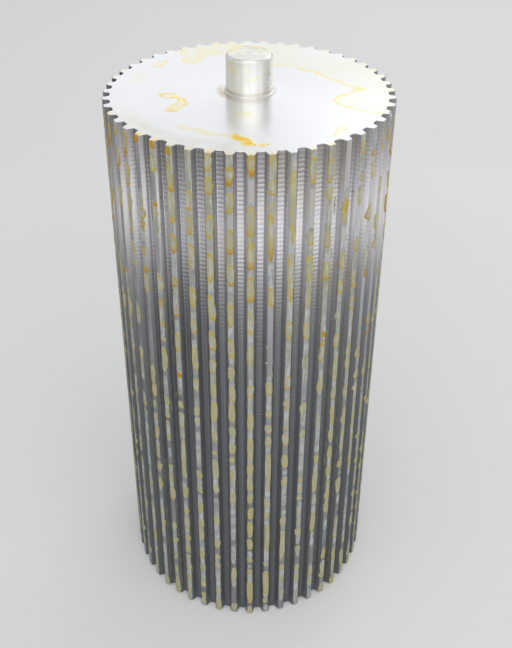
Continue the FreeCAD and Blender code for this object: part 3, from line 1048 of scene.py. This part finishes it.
def hobbed_aluminium():
    """Side of the bar: hobbed grooves with feed marks, and turned tooth tips with old film."""
    s = Shader("hobbed_aluminium")
    place, x, y, z = s.position()
    floor, land, across, tooth, groove = s.attributes("floor", "land", "across", "tooth", "groove")
    line, brown = s.attributes("line", "brown")

    # feed marks: one shallow scallop for each turn of the bar under the hob
    jitter = s.noise(s.vector(0.0, groove, z * 0.35), 1.0, 1.0)
    turns = z / HOB_FEED + groove * 0.23 + jitter * 0.5
    saw = abs(s.math("FRACT", turns) - 0.5)
    depth = s.noise(s.vector(groove, 0.0, z * 0.12), 1.3) * 0.014 + 0.001
    marks = saw * saw * 4.0 * depth * (floor * 0.8 + 0.2) * (1.0 - land)
    # painted shade: a dark line along the crest of each deeper feed mark in the groove floors
    crest_shade = s.step(saw, 0.36, 0.47) * (floor * s.step(depth, 0.005, 0.011))

    # drawn streaks along the grooves and fine turning lines on the tips
    streak = s.noise(s.vector(across * 3.2, tooth * 3.7, z * 0.05), 1.0, 4.0, 0.6)
    turning = s.noise(s.vector(0.0, 0.0, z * 7.0), 1.0, 2.0)
    normal = s.bump(marks + turning * land * 0.004 + streak * 0.006)

    # old film on the tips, patchy along each tooth, and thin stains that reach into the grooves
    patch = s.noise(s.vector(across * 0.35, tooth * 5.1, z * 0.045), 1.0, 3.0, 0.55)
    on_tip = s.step(abs(across) + patch * -0.30, 0.80, 0.58)
    film = on_tip * (s.step(patch, 0.30, 0.60) * 0.20 + 0.10)
    yellowing = s.step(s.noise(place, 0.11, 3.0, 0.6), 0.45, 0.75)
    old_film = s.mix(yellowing, (0.60, 0.61, 0.60, 1), (0.58, 0.55, 0.38, 1))
    old_film = s.mix(s.step(turning, 0.45, 0.75) * 0.5, old_film, (0.36, 0.37, 0.38, 1))
    wash = s.step(s.noise(place, 0.045, 2.0), 0.52, 0.70) * 0.30

    metal = s.mix(streak * 0.55, ALUMINIUM, (0.52, 0.53, 0.56, 1))
    # painted shade along the feed-mark crests
    metal = s.mix(crest_shade * 0.4, metal, (0.30, 0.30, 0.31, 1))
    metal = s.mix(wash, metal, (0.66, 0.62, 0.46, 1))
    # painted shade: the rounded corners of the grooves are darker than their flat floor
    corner = s.math("MINIMUM", s.step(floor, 0.99, 0.82), s.step(floor, 0.12, 0.40))
    metal = s.mix(corner * 0.38, metal, (0.42, 0.42, 0.43, 1))
    colour = s.mix(film, metal, old_film)
    colour = s.mix(line, colour, (0.72, 0.50, 0.08, 1))
    colour = s.mix(brown, colour, (0.55, 0.20, 0.01, 1))
    covered = s.math("MAXIMUM", film, line)
    rough = s.between(land, streak * 0.20 + (floor * -0.03 + 0.10), 0.34)
    return s.surface({
        "Base Color": colour, "Metallic": s.between(covered, 1.0, 0.15),
        "Roughness": s.between(covered, rough, 0.48), "Normal": normal, "IOR": OIL_IOR,
    })


def stained(s, metal, metal_rough, normal, brown_colour):
    """Turned metal under the film, yellow lines, soil and painted shade, and brown spots stored on its mesh.
    """
    film, line, brown, soil = s.attributes(*STAIN_NAMES)
    colour = s.mix(film * 0.75, metal, PALE_FILM)
    colour = s.mix(soil, colour, SOIL_AND_SHADE)
    colour = s.mix(line, colour, YELLOW_OIL)
    colour = s.mix(brown, colour, brown_colour)
    covered = s.math("MAXIMUM", film * 0.35, line * 0.8)
    tangent = s.add("Tangent", direction_type="RADIAL", axis="Z").outputs[0]
    return s.surface({
        "Base Color": colour, "Metallic": s.between(brown, 1.0, 0.80),
        "Roughness": s.between(covered, metal_rough, 0.28), "Normal": normal,
        "Anisotropic": 0.30, "Anisotropic Rotation": 0.25, "Tangent": tangent, "IOR": OIL_IOR,
    })


def turned_end_aluminium():
    """Faced end: fine rings about the axis, bright, with dried oil."""
    s = Shader("turned_end_aluminium")
    place, x, y, z = s.position()
    radius = distance_from_axis(s, x, y)
    fine = s.noise(s.vector(radius * 9.0, 0.0, 0.0), 1.0, 3.0, 0.7)
    broad = s.noise(s.vector(radius * 0.7, 4.0, 0.0), 1.0, 2.0)
    cloud = s.noise(place, 0.09, 3.0, 0.55)
    metal = s.mix(cloud * 0.35, (0.90, 0.905, 0.915, 1), (0.80, 0.81, 0.84, 1))
    rough = broad * 0.06 + (cloud * 0.08 + 0.18)
    return stained(s, metal, rough, s.bump(fine * 0.0014), BROWN_OIL)


def turned_pin_aluminium():
    """Turned spigot: fine rings round the pin and across its end."""
    s = Shader("turned_pin_aluminium")
    place, x, y, z = s.position()
    rings = z * 8.0 + distance_from_axis(s, x, y) * 8.0
    fine = s.noise(s.vector(0.0, 0.0, rings), 1.0, 3.0, 0.6)
    cloud = s.noise(place, 0.35, 3.0, 0.6)
    metal = s.mix(cloud * 0.4, (0.91, 0.91, 0.91, 1), (0.77, 0.77, 0.75, 1))
    return stained(s, metal, cloud * 0.14 + 0.30, s.bump(fine * 0.003), GREY_BROWN)


def dried_oil():
    """Drops: nearly clear in the middle, amber at the rim, brown where the oil pooled."""
    s = Shader("dried_oil")
    place, x, y, z = s.position()
    rim, tint, shade, is_drop = s.attributes("rim", "tint", "shade", "drop")
    mottle = s.noise(place, 0.9, 3.0, 0.6)
    fine = s.noise(place, 3.0, 2.0, 0.6)
    cloud = s.noise(s.vector(x, y, z * 0.35), 0.30, 3.0, 0.6)
    along = s.noise(s.vector(x * 0.5, y * 0.5, z), 0.42, 2.0, 0.6)
    highlight_streak = s.noise(s.vector(x * 1.5, y * 1.5, z * 0.16), 1.0)

    # where the oil is coloured: its edge, its fullest part, and an inner outline of some drops;
    # fainter towards the foot of the bar
    low = s.step(z, 112.0, 60.0)
    edge = s.step(rim + (mottle - 0.5) * 0.7, 0.50, 0.86)
    edge = edge * s.step(mottle + tint * 0.35, 0.40, 0.60) * (low * -0.55 + 1.0)
    tint = tint * (low * -0.55 + 1.0)
    fill = s.step(tint + mottle * 0.7, 0.80, 1.38)
    inner = s.step(abs(rim - 0.60), 0.13, 0.04) * s.step(s.noise(place, 0.22, 1.0), 0.48, 0.58)
    spread = s.math("MAXIMUM", edge, fill)
    spread = s.math("MAXIMUM", spread, inner * (low * -0.45 + 0.75))

    # the thin skin: grey, olive in clouds that are commoner high up, with painted glints in fine flecks and
    # painted highlight streaks along the bar
    olive = s.step(cloud + z / BAR_LENGTH * 0.22, 0.58, 0.84)
    pale = s.mix(s.step(along, 0.32, 0.66), (0.27, 0.285, 0.295, 1), (0.45, 0.47, 0.46, 1))
    pale = s.mix(olive, pale, (0.36, 0.35, 0.21, 1))
    pale = s.mix(s.step(fine, 0.45, 0.75) * 0.45, pale, (0.56, 0.57, 0.54, 1))
    pale = s.mix(is_drop * 0.6, pale, (0.43, 0.435, 0.34, 1))
    # painted highlight: pale streaks along the bar on the skin and the drops
    pale = s.mix(s.step(highlight_streak, 0.50, 0.66) * 0.55, pale, (0.60, 0.61, 0.60, 1))

    fuller = (shade * 0.60 + 0.04) * s.step(mottle, 0.34, 0.62)
    fuller = s.math("MAXIMUM", fuller, low * (shade * 0.5 + 0.25))
    middle = s.mix(fuller * is_drop, pale, (0.45, 0.415, 0.16, 1))
    amber = s.mix(tint, (0.52, 0.43, 0.10, 1), (0.51, 0.31, 0.022, 1))
    colour = s.mix(spread * is_drop, middle, amber)
    dark = edge * s.step(tint, 0.45, 1.0) * (is_drop * 0.6)
    colour = s.mix(dark, colour, (0.46, 0.215, 0.008, 1))
    film_edge = s.step(rim, 0.72, 1.0) * (1.0 - is_drop)
    colour = s.mix(film_edge * s.step(mottle, 0.4, 0.6), colour, (0.33, 0.30, 0.13, 1))
    return s.surface({
        "Base Color": colour, "Metallic": 0.0, "Roughness": mottle * 0.30 + 0.06,
        "Normal": s.bump(mottle * 0.09 + fine * 0.05), "IOR": 1.47,
    })


# ---- stage

def stage_object(name, vertices, material):
    mesh = bpy.data.meshes.new(name)
    mesh.from_pydata((np.asarray(vertices, float) * MM).tolist(), [], [tuple(range(len(vertices)))])
    piece = bpy.data.objects.new(name, mesh)
    piece.data.materials.append(material)
    bpy.context.scene.collection.objects.link(piece)
    return piece


def pale_floor():
    s = Shader("pale_floor")
    return s.surface({"Base Color": (0.80, 0.80, 0.79, 1), "Roughness": 0.9, "Specular IOR Level": 0.1})


def only_in_reflections(piece):
    for ray in ("camera", "diffuse", "transmission", "volume_scatter", "shadow"):
        setattr(piece, "visible_" + ray, False)


def area_light(name, place, size, power, colour=(1, 1, 1)):
    """A soft box at a place in millimetres, facing the bar."""
    data = bpy.data.lights.new(name, "AREA")
    data.shape = "RECTANGLE"
    data.size, data.size_y = size[0] * MM, size[1] * MM
    data.energy = power
    data.color = colour
    light = bpy.data.objects.new(name, data)
    light.location = [value * MM for value in place]
    way = Vector(LIGHT_AIM) - Vector(place)
    light.rotation_euler = way.to_track_quat("-Z", "Y").to_euler()
    bpy.context.scene.collection.objects.link(light)


def fill_ramp(ramp, rows, reach=1.0):
    """Sets a colour ramp's stops; reach is the value at its far end."""
    stops = ramp.color_ramp.elements
    while len(stops) < len(rows):
        stops.new(0.5)
    for stop, (place, colour) in zip(stops, rows):
        stop.position = place / reach
        stop.color = (*colour, 1)


# the world's colour by how far up it is: the sine of its angle above the horizon
SKY = [
    (0.0, (0.50, 0.51, 0.53)), (0.16, (0.86, 0.87, 0.89)), (0.36, (0.95, 0.96, 0.98)),
    (0.6, (0.80, 0.80, 0.82)), (1.0, (0.62, 0.63, 0.66)),
]
SKY_STRENGTH = 0.80
LIGHT_AIM = (0, 0, 110)
FLOOR_HALF = 20000
FLOOR_DROP = 0.02
# the card that the metal mirrors: distance from the axis in millimetres, and the colour there
CARD = [
    (0, (0.100, 0.106, 0.113)), (95, (0.135, 0.141, 0.149)), (185, (0.20, 0.205, 0.213)),
    (228, (0.45, 0.44, 0.45)), (252, (1.24, 1.20, 1.23)), (290, (1.24, 1.20, 1.23)),
    (314, (0.52, 0.49, 0.505)), (345, (0.33, 0.31, 0.32)), (520, (0.25, 0.24, 0.245)),
]
CARD_RADIUS = 700.0
CARD_HEIGHT = 0.4
# half angle of the card's outline in degrees: a hair short of the whole round
CARD_REACH = 179.9


def make_world():
    """Soft even light, brightest a little above the horizon."""
    s = Shader("soft_studio", bpy.data.worlds, "OutputWorld")
    bpy.context.scene.world = s.material
    way = s.add("TexCoord").outputs["Generated"]
    ramp = s.add("ValToRGB", {0: s.add("SeparateXYZ", {0: way}).outputs[2]})
    fill_ramp(ramp, SKY)
    background = s.add("Background", {0: ramp.outputs[0], 1: SKY_STRENGTH})
    s.feed(s.output.inputs["Surface"], background.outputs[0])


def card_outline():
    """A flat ring round the foot, from close to the axis out to the card's radius."""
    angles = np.radians(np.linspace(-CARD_REACH, CARD_REACH, 90) - 90)
    circle = np.column_stack([np.cos(angles), np.sin(angles), np.zeros(len(angles))])
    height = np.array([0, 0, CARD_HEIGHT])
    return np.vstack([circle * CARD_RADIUS + height, circle[::-1] + height])


def make_card():
    """A card that only reflections see: metal needs dark and bright things to mirror."""
    s = Shader("reflected_floor")
    place, x, y, z = s.position()
    ramp = s.add("ValToRGB", {0: distance_from_axis(s, x, y) / CARD_RADIUS})
    fill_ramp(ramp, CARD, CARD_RADIUS)
    # dimmer on the left, and more so behind
    left = s.step(x, -25.0, -150.0)
    behind = s.step(y, -170.0, -30.0)
    side = 1.0 - left * (behind * 0.26 + 0.44)
    glow = s.add("Emission", {"Color": ramp.outputs[0], "Strength": side})
    s.feed(s.output.inputs["Surface"], glow.outputs[0])
    only_in_reflections(stage_object("reflected_floor", card_outline(), s.material))


def make_stage():
    make_world()
    corners = [(-1, -1, 0), (1, -1, 0), (1, 1, 0), (-1, 1, 0)]
    floor = stage_object("floor", np.array(corners) * FLOOR_HALF, pale_floor())
    floor.location.z = -FLOOR_DROP * MM
    make_card()
    area_light("back_softbox", (380, 900, 480), (1560, 560), 0.81, (0.985, 0.99, 1.0))
    area_light("overhead", (0, -260, 1050), (760, 620), 1.25)
    area_light("high_right", (330, 620, 800), (520, 520), 0.9)
    area_light("front_card", (0, -1250, 640), (1300, 520), 2.4)
    area_light("front_left", (-800, -900, 850), (1300, 1100), 1.05)
    area_light("front_right", (900, -900, 800), (1200, 1000), 2.1, (1.0, 0.985, 0.96))


make_camera()
make_stage()
tooth_rows = make_bar()
make_spigot()
make_drops(tooth_rows)
make_crumbs(tooth_rows)
bpy.context.scene.view_settings.view_transform = "Standard"
